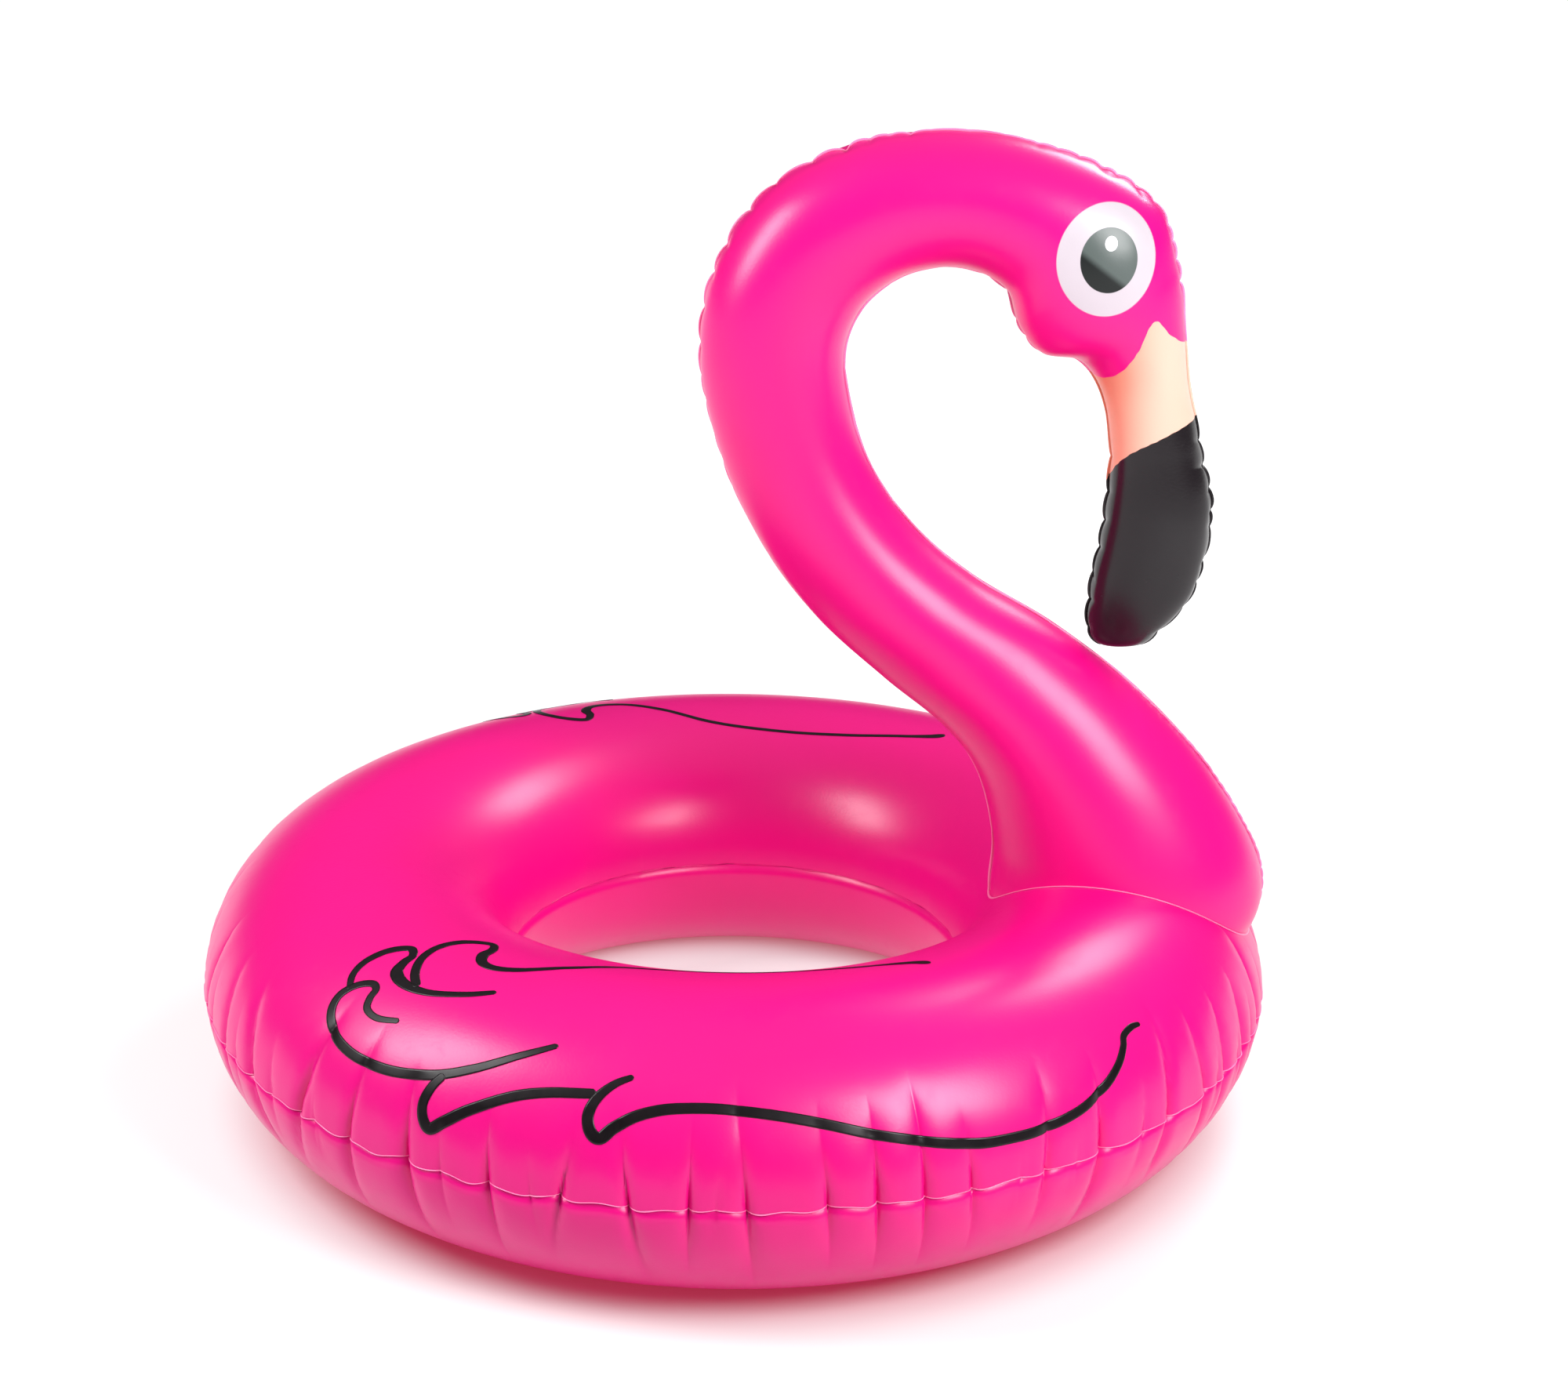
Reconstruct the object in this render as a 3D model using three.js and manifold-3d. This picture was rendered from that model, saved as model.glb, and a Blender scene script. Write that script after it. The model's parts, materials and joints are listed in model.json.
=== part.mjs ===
// Inflatable flamingo pool float: a ring that a rider sits in, with an S-shaped neck, head and beak
// standing on its front. Millimetres, +X the way the bird faces, +Y its left, +Z up, origin on the
// floor under the middle of the ring. The skin is thin PVC film, so every panel is an open shell.
import * as THREE from "three";
import { mergeVertices } from "three/addons/utils/BufferGeometryUtils.js";
import Module from "manifold-3d";

const wasm = await Module();
wasm.setup();

// ---- Driving dimensions -------------------------------------------------------------------------

const FILM = 0.4; // thickness of the PVC film
const GAP = 0.35; // room left between pieces that are welded on the real float
const WELD = 2 * FILM; // two films pressed into one lip
const WELD_LIP = 4; // how far a welded lip stands out
const WELD_ROOT = 1.2; // how far a welded lip reaches in between its panels

const TUBE_CENTRE = 400; // radius of the circle that the ring's tube follows
const TUBE_WIDTH = 160; // half the tube's width
const SEAM_HEIGHT = 142; // the ring's seams lie this far above the floor
const CREST = 142; // the tube's top, above the seams
const BELLY = 146; // the tube's underside, below the seams, before the floor flattens it
const RING_STEPS = 48;
const TUBE_STEPS = 10; // across one panel

const CUFF = 28; // the neck bends in this height of film above the ring
const NECK_STEPS = 38; // sections along the neck
const SIDE_STEPS = 8; // across one side panel

const PINK = { color: 0xf0328c, roughness: 0.38, metalness: 0 };
const LIP_PINK = { color: 0xf55ca3, roughness: 0.35, metalness: 0 };
const CLEAR_VINYL = { color: 0xf3dfe8, roughness: 0.3, metalness: 0 };
const STOPPER_VINYL = { color: 0xe9e4e6, roughness: 0.35, metalness: 0 };

// The neck's sections, from inside the ring to the end of the beak. Each row is a point of the back
// seam (x, z), the facing point of the front seam (x, z) and half the width between the two sides.
const NECK = [
  [285, 150, 480, 150, 118],
  [271, 226, 544, 204, 128],
  [272, 290, 552, 272, 121],
  [252, 366, 500, 365, 104],
  [213, 417, 420, 452, 87],
  [150, 466, 330, 521, 74],
  [80, 528, 240, 573, 69],
  [24, 602, 172, 630, 69],
  [-18, 690, 124, 703, 70],
  [-42, 790, 103, 790, 72],
  [-30, 882, 117, 845, 73],
  [25, 965, 152, 878, 72],
  [118, 1014, 190, 891, 68],
  [225, 1024, 228, 890, 66],
  [325, 1004, 261, 871, 70],
  [402, 963, 275, 835, 74],
  [430, 897, 298, 810, 68],
  [439, 835, 336, 804, 55],
  [446, 780, 361, 770, 43],
  [463, 718, 372, 712, 43],
  [478, 650, 369, 645, 46],
  [466, 570, 359, 572, 40],
  [428, 519, 358, 526, 24],
  [392, 508, 384, 508, 2],
];

// Valves: where each stands, and the way its stopper strap points.
const RING_VALVE = { azimuth: -100, tube: 150 }; // degrees round the ring and over the tube
const NECK_VALVE = { section: 4.1, side: 80 }; // row of NECK, and degrees from the back seam
const VALVE_STEPS = 20;
const VALVE = {
  hole: 12.5, // in the panel
  flange: 21,
  flangeInner: 9.8,
  under: -5.2, // the welded flange lies against the inside of the panel
  webDip: 1.5, // the soft web sinks this far towards the stem
  stem: 7.2,
  rim: 9.2,
  rimDepth: 1.2,
  top: 4, // the stem's top above the film when it is pushed in
  bottom: -10,
  mouth: 5.6, // the bore tapers from its mouth to its throat
  throat: 3.9,
  hinge: 19, // from the valve's axis to the bend in the stopper's strap
};
const STOPPER = {
  lift: 0.4, // above the stem's rim
  plug: 5.1,
  plugTip: 3.3,
  plugDepth: 8,
  cap: 8.6,
  capDepth: 1.6,
  capRound: 0.8, // the cap's upper edge is cut back this far
  strapHalf: 2.5,
  strapDepth: 1,
  tabHalf: 3,
  tabEnd: 13.5,
};
const FLAP = { radius: 6.1, depth: 0.8, drop: 0.4 }; // it hangs this far below the stem

// ---- Solids -------------------------------------------------------------------------------------

function solidFrom(geometry) {
  const bare = geometry.index ? geometry.toNonIndexed() : geometry.clone();
  for (const name of ["normal", "uv"]) bare.deleteAttribute(name);
  const merged = mergeVertices(bare, 1e-4);
  const index = merged.index.array;
  const triangles = [];
  for (let i = 0; i < index.length; i += 3) {
    const [a, b, c] = index.slice(i, i + 3);
    if (a !== b && b !== c && a !== c) triangles.push(a, b, c);
  }
  return new wasm.Manifold(
    new wasm.Mesh({
      numProp: 3,
      vertProperties: new Float32Array(merged.attributes.position.array),
      triVerts: new Uint32Array(triangles),
    }),
  );
}

function geometryFrom(solid) {
  const mesh = solid.getMesh();
  const geometry = new THREE.BufferGeometry();
  geometry.setAttribute("position", new THREE.BufferAttribute(mesh.vertProperties, 3));
  geometry.setIndex(new THREE.BufferAttribute(mesh.triVerts, 1));
  return geometry;
}

function piece(name, geometry, finish) {
  const mesh = new THREE.Mesh(geometry, new THREE.MeshStandardMaterial(finish));
  mesh.name = name;
  return mesh;
}

// Turns a profile of [radius, height] pairs about +Z. The profile closes on itself, and runs
// anticlockwise with the radius to the right and the height up.
function turned(profile, steps) {
  const points = profile.map(([radius, height]) => new THREE.Vector2(radius, height));
  points.push(points[0].clone());
  return new THREE.LatheGeometry(points, steps).rotateX(Math.PI / 2);
}

function box(x0, x1, y0, y1, z0, z1) {
  const made = new THREE.BoxGeometry(x1 - x0, y1 - y0, z1 - z0);
  return made.translate((x0 + x1) / 2, (y0 + y1) / 2, (z0 + z1) / 2);
}

// ---- Ring ---------------------------------------------------------------------------------------

const radians = THREE.MathUtils.degToRad;

// A point of the tube's outline as [radius, height], moved out by grow; angle 0 faces outwards.
function tubePoint(angle, grow = 0) {
  const half = Math.sin(angle) > 0 ? CREST : BELLY;
  const height = SEAM_HEIGHT + (half + grow) * Math.sin(angle);
  return [TUBE_CENTRE + (TUBE_WIDTH + grow) * Math.cos(angle), Math.max(height, -grow)];
}

function arc(from, to, steps, grow) {
  return Array.from({ length: steps + 1 }, (_, i) => tubePoint(from + ((to - from) * i) / steps, grow));
}

// The two angles at which the flat of the underside begins, so that its edges are true edges.
const FLAT_ANGLE = Math.asin(SEAM_HEIGHT / BELLY);

function topPanelGeometry() {
  const edge = Math.asin((WELD / 2 + GAP) / CREST);
  const outside = arc(edge, Math.PI - edge, TUBE_STEPS, 0);
  const inside = arc(edge, Math.PI - edge, TUBE_STEPS, -FILM).reverse();
  return turned([...outside, ...inside], RING_STEPS);
}

function bottomPanelGeometry() {
  const edge = Math.asin((WELD / 2 + GAP) / BELLY);
  const side = (grow) => [
    ...arc(-Math.PI + edge, -Math.PI + FLAT_ANGLE, TUBE_STEPS / 2 - 1, grow),
    ...arc(-FLAT_ANGLE, -edge, TUBE_STEPS / 2 - 1, grow),
  ];
  return turned([...side(0), ...side(-FILM).reverse()], RING_STEPS);
}

// The whole tube as a solid, moved out by grow, for trimming the foot of the neck to its shape.
function tubeSolid(grow) {
  return solidFrom(turned(arc(0, 2 * Math.PI, 2 * TUBE_STEPS, grow).slice(0, -1), RING_STEPS));
}

function lipGeometry(innerRadius, outerRadius) {
  const low = SEAM_HEIGHT - WELD / 2;
  const high = SEAM_HEIGHT + WELD / 2;
  const profile = [
    [innerRadius, low],
    [outerRadius, low],
    [outerRadius, high],
    [innerRadius, high],
  ];
  return turned(profile, RING_STEPS);
}

// ---- Neck, head and beak ------------------------------------------------------------------------

const backSeam = new THREE.CatmullRomCurve3(
  NECK.map(([x, z]) => new THREE.Vector3(x, 0, z)),
  false,
  "centripetal",
);
const frontSeam = new THREE.CatmullRomCurve3(
  NECK.map(([, , x, z]) => new THREE.Vector3(x, 0, z)),
  false,
  "centripetal",
);

// The section at a place along the neck, counted in rows of NECK.
function sectionAt(place) {
  const row = Math.min(Math.floor(place), NECK.length - 2);
  const share = place - row;
  const widths = [row - 1, row, row + 1, row + 2].map(
    (i) => NECK[THREE.MathUtils.clamp(i, 0, NECK.length - 1)][4],
  );
  const [before, from, to, after] = widths;
  const slope0 = (to - before) / 2;
  const slope1 = (after - from) / 2;
  const squared = share * share;
  const cubed = squared * share;
  const side =
    (2 * cubed - 3 * squared + 1) * from +
    (cubed - 2 * squared + share) * slope0 +
    (3 * squared - 2 * cubed) * to +
    (cubed - squared) * slope1;
  const t = place / (NECK.length - 1);
  const back = backSeam.getPoint(t);
  const front = frontSeam.getPoint(t);
  const middle = back.clone().add(front).divideScalar(2);
  return { back, middle, reach: back.clone().sub(middle), side };
}

const THINNEST = 0.2; // no skin shrinks to nothing, even at the tip of the beak

// A point of the skin: angle 0 on the back seam, a quarter turn on the side, half a turn on the front.
function skinPoint(section, angle, grow, hand) {
  const length = section.reach.length();
  const stretch = Math.max(length + grow, THINNEST) / length;
  const point = section.middle.clone().addScaledVector(section.reach, stretch * Math.cos(angle));
  point.y = hand * (WELD / 2 + GAP + Math.max(section.side + grow, THINNEST) * Math.sin(angle));
  return point;
}

function neckPlaces(steps) {
  const last = NECK.length - 1;
  return Array.from({ length: steps + 1 }, (_, i) => (last * i) / steps);
}

// A sheet of film between two grids of points, outside and inside, given as rows of columns. Both
// skins are cut along the same diagonals, so they stay one film apart. A sheet that goes around
// joins its last column to its first one; any other sheet is closed off along all four edges.
function sheetSolid(outside, inside, around, turnedOver) {
  const rows = outside.length;
  const columns = outside[0].length;
  const across = around ? columns : columns - 1;
  const positions = [...outside.flat(), ...inside.flat()].flatMap((p) => [p.x, p.y, p.z]);
  const out = (i, j) => i * columns + (j % columns);
  const into = (i, j) => rows * columns + out(i, j);
  const index = [];
  const quad = (a, b, c, d) => index.push(a, b, c, a, c, d);
  for (let i = 0; i + 1 < rows; i++)
    for (let j = 0; j < across; j++) {
      quad(out(i, j), out(i + 1, j), out(i + 1, j + 1), out(i, j + 1));
      index.push(into(i, j), into(i + 1, j + 1), into(i + 1, j));
      index.push(into(i, j), into(i, j + 1), into(i + 1, j + 1));
    }
  for (let j = 0; j < across; j++) {
    quad(out(0, j), out(0, j + 1), into(0, j + 1), into(0, j));
    quad(out(rows - 1, j + 1), out(rows - 1, j), into(rows - 1, j), into(rows - 1, j + 1));
  }
  for (let i = 0; i + 1 < rows && !around; i++) {
    quad(out(i + 1, 0), out(i, 0), into(i, 0), into(i + 1, 0));
    quad(out(i, across), out(i + 1, across), into(i + 1, across), into(i, across));
  }
  const geometry = new THREE.BufferGeometry();
  geometry.setAttribute("position", new THREE.Float32BufferAttribute(positions, 3));
  geometry.setIndex(turnedOver ? index.reverse() : index);
  return solidFrom(geometry);
}

const SIDE_ANGLES = Array.from({ length: SIDE_STEPS + 1 }, (_, j) => (Math.PI * j) / SIDE_STEPS);

// One side of the neck, from its back seam to its front seam.
function sidePanelSolid(hand) {
  const sections = neckPlaces(NECK_STEPS).map(sectionAt);
  const skin = (grow) =>
    sections.map((section) => SIDE_ANGLES.map((angle) => skinPoint(section, angle, grow, hand)));
  return sheetSolid(skin(0), skin(-FILM), false, hand < 0);
}

// A sleeve round the neck: its inside and outside skins, grown by the amounts given.
function sleeveSolid(places, insideGrow, outsideGrow) {
  const sections = places.map(sectionAt);
  const skin = (grow) =>
    sections.map((section) => {
      const half = (hand) => SIDE_ANGLES.map((angle) => skinPoint(section, angle, grow, hand));
      return [...half(1), ...half(-1).reverse()];
    });
  return sheetSolid(skin(outsideGrow), skin(insideGrow), true, false);
}

// The weld that runs up the back, over the head, round the beak and down the front.
function profileLipSolid() {
  const places = neckPlaces(2 * NECK_STEPS);
  const loop = [
    ...places.map((place) => backSeam.getPoint(place / (NECK.length - 1))),
    ...places.map((place) => frontSeam.getPoint(place / (NECK.length - 1))).reverse(),
  ].filter((p, i, all) => i === 0 || p.distanceTo(all[i - 1]) > WELD_LIP - 1);
  const moved = (grow) =>
    loop.map((p, i) => {
      const along = loop[Math.min(i + 1, loop.length - 1)].clone().sub(loop[Math.max(i - 1, 0)]);
      const out = new THREE.Vector3(-along.z, 0, along.x).normalize();
      return p.clone().addScaledVector(out, grow);
    });
  const outline = [...moved(WELD_LIP), ...moved(-WELD_ROOT).reverse()];
  const shape = new THREE.Shape(outline.map((p) => new THREE.Vector2(p.x, p.z)));
  const strip = new THREE.ExtrudeGeometry(shape, { depth: WELD, bevelEnabled: false });
  return solidFrom(strip.rotateX(Math.PI / 2).translate(0, WELD / 2, 0));
}

// ---- Valve --------------------------------------------------------------------------------------

// A flat or sloping washer: its inner edge at innerHeight and its outer edge at outerHeight.
function washer(innerRadius, outerRadius, innerHeight, outerHeight, depth) {
  const profile = [
    [innerRadius, innerHeight],
    [outerRadius, outerHeight],
    [outerRadius, outerHeight + depth],
    [innerRadius, innerHeight + depth],
  ];
  return turned(profile, VALVE_STEPS);
}

// A disc, solid to its axis.
function disc(radius, low, high) {
  const profile = [
    [0, low],
    [radius, low],
    [radius, high],
    [0, high],
  ];
  return turned(profile, VALVE_STEPS);
}

// The tube that is blown into, with a rim and the ear that the stopper's strap is moulded to.
function stemGeometry() {
  const { stem, rim, rimDepth, top, bottom, mouth, throat, hinge } = VALVE;
  const tube = turned(
    [
      [throat, bottom],
      [stem, bottom],
      [stem, top - rimDepth - 0.3],
      [rim, top - rimDepth],
      [rim, top],
      [mouth, top],
    ],
    VALVE_STEPS,
  );
  const bore = turned(
    [
      [0, bottom - 1],
      [throat, bottom - 1],
      [throat, bottom],
      [mouth, top],
      [mouth, top + 1],
      [0, top + 1],
    ],
    VALVE_STEPS,
  );
  const half = STOPPER.tabHalf;
  const ear = box(stem - 1, hinge + 0.3, -half, half, top - rimDepth, top);
  return geometryFrom(solidFrom(tube).add(solidFrom(ear)).subtract(solidFrom(bore)));
}

// The stopper, closed: a tapered plug under a round cap, with a pull tab and its strap.
function stopperGeometry() {
  const { plug, plugTip, plugDepth, cap, capDepth, capRound } = STOPPER;
  const { strapHalf, strapDepth, tabHalf, tabEnd } = STOPPER;
  const seat = VALVE.top + STOPPER.lift;
  const body = turned(
    [
      [0, seat - plugDepth],
      [plugTip, seat - plugDepth],
      [plug, seat],
      [cap, seat],
      [cap, seat + capDepth - capRound / 2],
      [cap - capRound, seat + capDepth],
      [0, seat + capDepth],
    ],
    VALVE_STEPS,
  );
  const tab = box(-tabEnd, 1 - cap, -tabHalf, tabHalf, seat, seat + strapDepth);
  const strap = box(cap - 1, VALVE.hinge - 0.3, -strapHalf, strapHalf, seat, seat + strapDepth);
  return geometryFrom(solidFrom(body).add(solidFrom(tab)).add(solidFrom(strap)));
}

// A valve's pieces in its own frame: +Z out of the film, +X along the stopper's strap.
function valveGeometries() {
  const { flange, flangeInner, under, webDip, stem, bottom } = VALVE;
  const webInner = stem + GAP;
  const flapTop = bottom - FLAP.drop;
  return {
    flange: washer(flangeInner, flange, under, under, 2 * FILM),
    // The soft web between the flange and the stem lets the stem push in.
    web: washer(webInner, flangeInner - GAP, under - webDip, under, FILM),
    stem: stemGeometry(),
    stopper: stopperGeometry(),
    check_flap: disc(FLAP.radius, flapTop - FLAP.depth, flapTop),
  };
}

// A frame on the skin: +Z along out, +X as near along strap as it can be.
function frameAt(place, out, strap) {
  const z = out.clone().normalize();
  const x = strap.clone().addScaledVector(z, -strap.dot(z)).normalize();
  const matrix = new THREE.Matrix4().makeBasis(x, z.clone().cross(x), z);
  return matrix.setPosition(place);
}

function ringValveFrame() {
  const turn = radians(RING_VALVE.azimuth);
  const at = (angle) => {
    const [radius, height] = tubePoint(angle);
    return new THREE.Vector3(radius * Math.cos(turn), radius * Math.sin(turn), height);
  };
  const angle = radians(RING_VALVE.tube);
  const along = at(angle - 0.01).sub(at(angle + 0.01));
  const round = new THREE.Vector3(-Math.sin(turn), Math.cos(turn), 0);
  return frameAt(at(angle), along.clone().cross(round), along);
}

function neckValveFrame() {
  const angle = radians(NECK_VALVE.side);
  const at = (place, turn) => skinPoint(sectionAt(place), turn, 0, 1);
  const place = at(NECK_VALVE.section, angle);
  const along = at(NECK_VALVE.section + 0.05, angle).sub(place);
  const across = at(NECK_VALVE.section, angle + 0.02).sub(place);
  return frameAt(place, along.clone().cross(across), across);
}

function holeSolid(frame) {
  const cutter = new THREE.CylinderGeometry(VALVE.hole, VALVE.hole, 30, VALVE_STEPS);
  return solidFrom(cutter.rotateX(Math.PI / 2).applyMatrix4(frame));
}

function valveGroup(prefix, frame) {
  const group = new THREE.Group();
  frame.decompose(group.position, group.quaternion, group.scale);
  for (const [name, geometry] of Object.entries(valveGeometries())) {
    const finish = name === "stopper" ? STOPPER_VINYL : CLEAR_VINYL;
    group.add(piece(`${prefix}_valve_${name}`, geometry, finish));
  }
  return group;
}

// ---- Assembly -----------------------------------------------------------------------------------

const ringFrame = ringValveFrame();
const neckFrame = neckValveFrame();

function ringPieces() {
  const outer = TUBE_CENTRE + TUBE_WIDTH;
  const inner = TUBE_CENTRE - TUBE_WIDTH;
  const top = solidFrom(topPanelGeometry()).subtract(holeSolid(ringFrame));
  return [
    piece("ring_top_panel", geometryFrom(top), PINK),
    piece("ring_bottom_panel", bottomPanelGeometry(), PINK),
    piece("ring_outer_weld", lipGeometry(outer - WELD_ROOT, outer + WELD_LIP), LIP_PINK),
    piece("ring_inner_weld", lipGeometry(inner - WELD_LIP, inner + WELD_ROOT), LIP_PINK),
    valveGroup("ring", ringFrame),
  ];
}

function neckPieces() {
  const aboveCuff = tubeSolid(CUFF + GAP);
  const side = (hand) => sidePanelSolid(hand).subtract(aboveCuff);
  const left = side(1).subtract(holeSolid(neckFrame));
  return [
    piece("neck_left_panel", geometryFrom(left), PINK),
    piece("neck_right_panel", geometryFrom(side(-1)), PINK),
    piece("neck_profile_weld", geometryFrom(profileLipSolid().subtract(aboveCuff)), LIP_PINK),
    valveGroup("neck", neckFrame),
  ];
}

// The strip of the neck's film next to the ring, which folds as the neck leans, and its weld.
function footPieces() {
  const root = [0, 0.5, 1, 1.5, 2, 2.5, 3]; // places along the neck, in rows of NECK
  const skin = sleeveSolid(root, -FILM, 0);
  const lip = sleeveSolid(root, -WELD_ROOT, WELD_LIP);
  const lipLow = GAP;
  const lipHigh = lipLow + WELD;
  const cuff = skin.intersect(tubeSolid(CUFF)).subtract(tubeSolid(lipHigh + GAP));
  const weld = lip.intersect(tubeSolid(lipHigh)).subtract(tubeSolid(lipLow));
  return [
    piece("neck_foot_cuff", geometryFrom(cuff), PINK),
    piece("neck_foot_weld", geometryFrom(weld), LIP_PINK),
  ];
}

const float = new THREE.Group();
float.add(...ringPieces(), ...neckPieces(), ...footPieces());
export default float;
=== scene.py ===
import json
import math

import bpy
import numpy as np
from mathutils import Matrix, Vector


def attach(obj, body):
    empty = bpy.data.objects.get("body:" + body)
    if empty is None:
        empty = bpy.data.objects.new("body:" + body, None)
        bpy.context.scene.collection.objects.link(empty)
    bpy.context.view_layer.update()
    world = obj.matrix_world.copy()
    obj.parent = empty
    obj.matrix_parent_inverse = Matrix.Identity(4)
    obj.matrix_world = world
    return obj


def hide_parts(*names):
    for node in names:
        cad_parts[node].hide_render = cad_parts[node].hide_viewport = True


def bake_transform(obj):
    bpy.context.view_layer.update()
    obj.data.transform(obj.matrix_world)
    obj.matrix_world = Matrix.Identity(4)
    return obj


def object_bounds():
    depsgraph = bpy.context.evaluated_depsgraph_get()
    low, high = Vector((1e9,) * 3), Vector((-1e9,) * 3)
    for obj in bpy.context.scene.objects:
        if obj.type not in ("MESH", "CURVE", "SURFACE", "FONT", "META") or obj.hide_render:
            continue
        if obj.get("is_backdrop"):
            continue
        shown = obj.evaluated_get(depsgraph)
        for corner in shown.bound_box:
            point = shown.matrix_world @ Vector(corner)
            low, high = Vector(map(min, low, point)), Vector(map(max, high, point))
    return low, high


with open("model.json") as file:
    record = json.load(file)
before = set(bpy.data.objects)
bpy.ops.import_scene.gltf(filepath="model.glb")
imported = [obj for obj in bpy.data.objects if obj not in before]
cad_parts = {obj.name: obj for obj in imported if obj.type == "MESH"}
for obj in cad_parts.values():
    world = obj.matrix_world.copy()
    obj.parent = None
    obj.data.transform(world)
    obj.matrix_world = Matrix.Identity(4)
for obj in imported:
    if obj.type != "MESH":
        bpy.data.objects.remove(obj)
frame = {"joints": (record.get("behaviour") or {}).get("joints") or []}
cad_low, cad_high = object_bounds()

# ---- Camera and light -----------------------------------------------------------------------
# A white studio: a large soft box to the left and one to the right of the camera, a third behind
# the bird, and a surround that is brighter overhead than at the horizon.

scene = bpy.context.scene
scene.view_settings.view_transform = "Standard"

camera_data = bpy.data.cameras.new("camera")
camera_data.sensor_width = 36
camera_data.lens = 65.09
camera = bpy.data.objects.new("camera", camera_data)
scene.collection.objects.link(camera)
camera.location = (0.2436, -2.7840, 1.4205)
aim = Vector((0.0481, 0, 0.4345)) - camera.location
roll = Matrix.Rotation(math.radians(0.94), 3, "Z").to_quaternion()
camera.rotation_mode = "QUATERNION"
camera.rotation_quaternion = aim.to_track_quat("-Z", "Y") @ roll
scene.camera = camera


def soft_box(name, place, target, size, power):
    """A rectangular lamp that faces its target; the size is in metres and the power in watts."""
    data = bpy.data.lights.new(name, "AREA")
    data.shape = "RECTANGLE"
    data.size, data.size_y = size
    data.energy = power
    light = bpy.data.objects.new(name, data)
    light.location = place
    light.rotation_euler = (Vector(target) - Vector(place)).to_track_quat("-Z", "Y").to_euler()
    scene.collection.objects.link(light)


soft_box("soft_box_left", (-1.87, -0.70, 1.93), (0, 0, 0.3), (0.75, 1.25), 52)
soft_box("soft_box_right", (1.52, -1.46, 1.75), (0, 0, 0.3), (1.0, 1.05), 60)
soft_box("soft_box_back", (1.1, 1.5, 2.1), (0, 0, 0.1), (0.8, 0.8), 28)

HORIZON = 0.05
ZENITH = 0.5
surround = bpy.data.worlds.new("surround")
surround.use_nodes = True
sky = surround.node_tree
direction = sky.nodes.new("ShaderNodeTexCoord")
upright = sky.nodes.new("ShaderNodeSeparateXYZ")
steeper = sky.nodes.new("ShaderNodeMath")
steeper.operation = "POWER"
steeper.inputs[1].default_value = 2
brightness = sky.nodes.new("ShaderNodeMapRange")
brightness.inputs["To Min"].default_value = HORIZON
brightness.inputs["To Max"].default_value = ZENITH
sky.links.new(direction.outputs["Generated"], upright.inputs[0])
sky.links.new(upright.outputs["Z"], steeper.inputs[0])
sky.links.new(steeper.outputs[0], brightness.inputs["Value"])
sky.links.new(brightness.outputs["Result"], sky.nodes["Background"].inputs["Strength"])
sky.nodes["Background"].inputs["Color"].default_value = (1, 1, 1, 1)
scene.world = surround


# ---- Floor ----------------------------------------------------------------------------------
# White seamless paper, wide enough that its edge never shows. It is grey, and a painted glow of its own
# lifts it to white and lightens the shadows on it; in a band under the ring the glow is dimmed and
# reddened into a painted shadow, as light through the film would tint it.


class Wire:
    """A node's output that takes part in sums: each operator adds one Math node to its material."""

    def __init__(self, tree, output):
        self.tree = tree
        self.output = output

    def math(self, operation, *others):
        node = self.tree.nodes.new("ShaderNodeMath")
        node.operation = operation
        for i, value in enumerate(others):
            if isinstance(value, Wire):
                self.tree.links.new(value.output, node.inputs[i])
            else:
                node.inputs[i].default_value = value
        return Wire(self.tree, node.outputs[0])

    def __add__(self, other):
        return self.math("ADD", self, other)

    def __radd__(self, other):
        return self.math("ADD", other, self)

    def __sub__(self, other):
        return self.math("SUBTRACT", self, other)

    def __rsub__(self, other):
        return self.math("SUBTRACT", other, self)

    def __mul__(self, other):
        return self.math("MULTIPLY", self, other)

    def __rmul__(self, other):
        return self.math("MULTIPLY", other, self)

    def __truediv__(self, other):
        return self.math("DIVIDE", self, other)

    def __pow__(self, other):
        return self.math("POWER", self, other)

    def between(self, low, high):
        """0 below low, 1 above high, and a smooth step from one to the other."""
        node = self.tree.nodes.new("ShaderNodeMapRange")
        node.interpolation_type = "SMOOTHSTEP"
        self.tree.links.new(self.output, node.inputs["Value"])
        node.inputs["From Min"].default_value = low
        node.inputs["From Max"].default_value = high
        return Wire(self.tree, node.outputs["Result"])


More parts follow.
